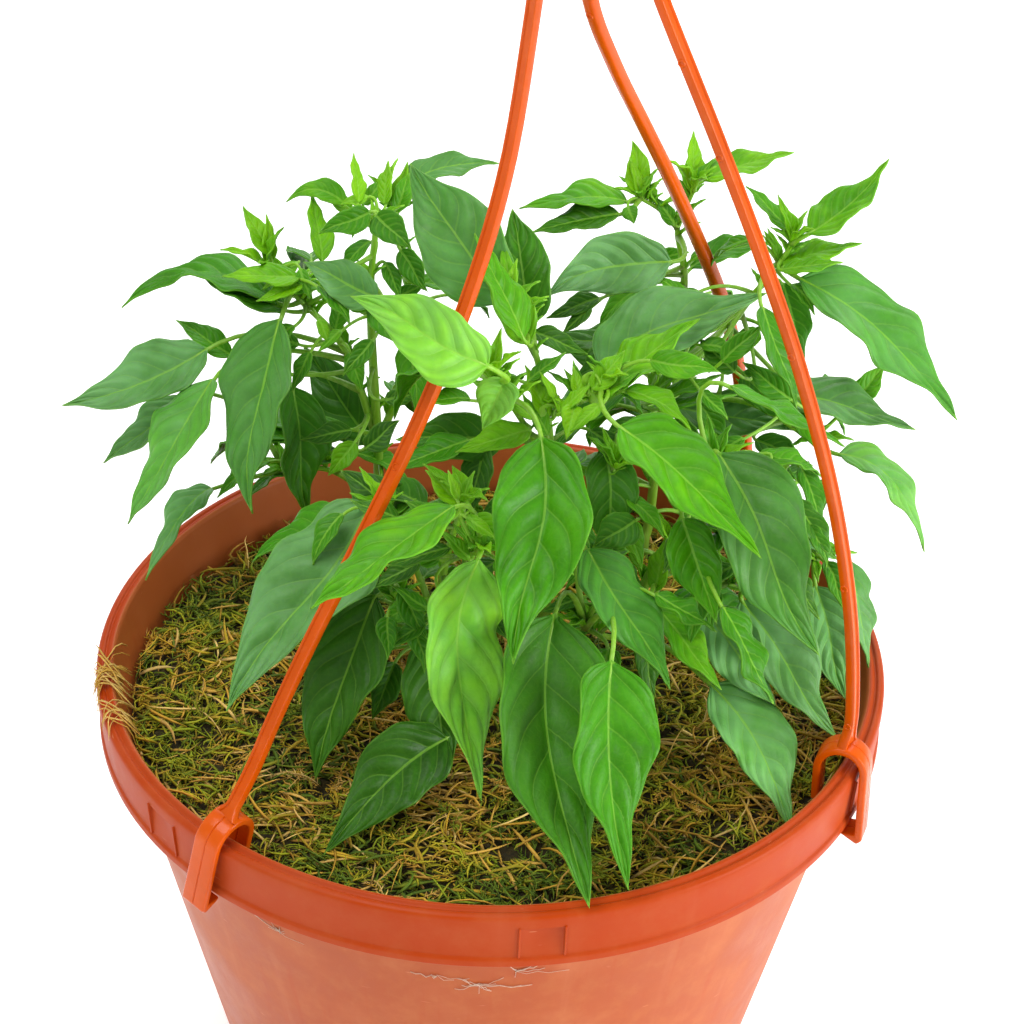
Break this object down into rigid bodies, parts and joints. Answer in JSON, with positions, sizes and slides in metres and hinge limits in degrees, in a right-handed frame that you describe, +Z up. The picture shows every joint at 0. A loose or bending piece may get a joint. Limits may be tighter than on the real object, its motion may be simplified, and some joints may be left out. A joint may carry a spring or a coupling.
{
  "type": "potted chilli pepper plant in a hanging basket",
  "caption": "Bushy chilli pepper plants in a round terracotta-coloured plastic pot with a moulded three-arm hanger and hook, filled with soil under a moss mulch.",
  "frame": {"origin": "middle of the pot's flat base, on its underside", "axes": "+Z up along the pot's axis, -Y towards the front, +X to the right"},
  "size_m": [0.2803, 0.25, 0.507],
  "materials": {
    "pot_plastic": "moulded terracotta-coloured plastic, satin gloss, lightly scuffed",
    "hanger_plastic": "moulded orange plastic, glossy",
    "soil": "dark, damp, crumbly potting soil",
    "mulch": "dry moss and straw fibres, matt",
    "leaf": "living leaf, satin, with paler veins"
  },
  "bodies": {
    "root": {"pot": "pot_plastic", "hanger": "hanger_plastic", "potting_soil": "soil", "moss_mulch": "mulch", "chilli_plant_back_left": "leaf", "chilli_plant_back_right": "leaf", "chilli_plant_centre": "leaf", "chilli_plant_front_left": "leaf", "chilli_plant_right": "leaf"}
  },
  "joints": []
}
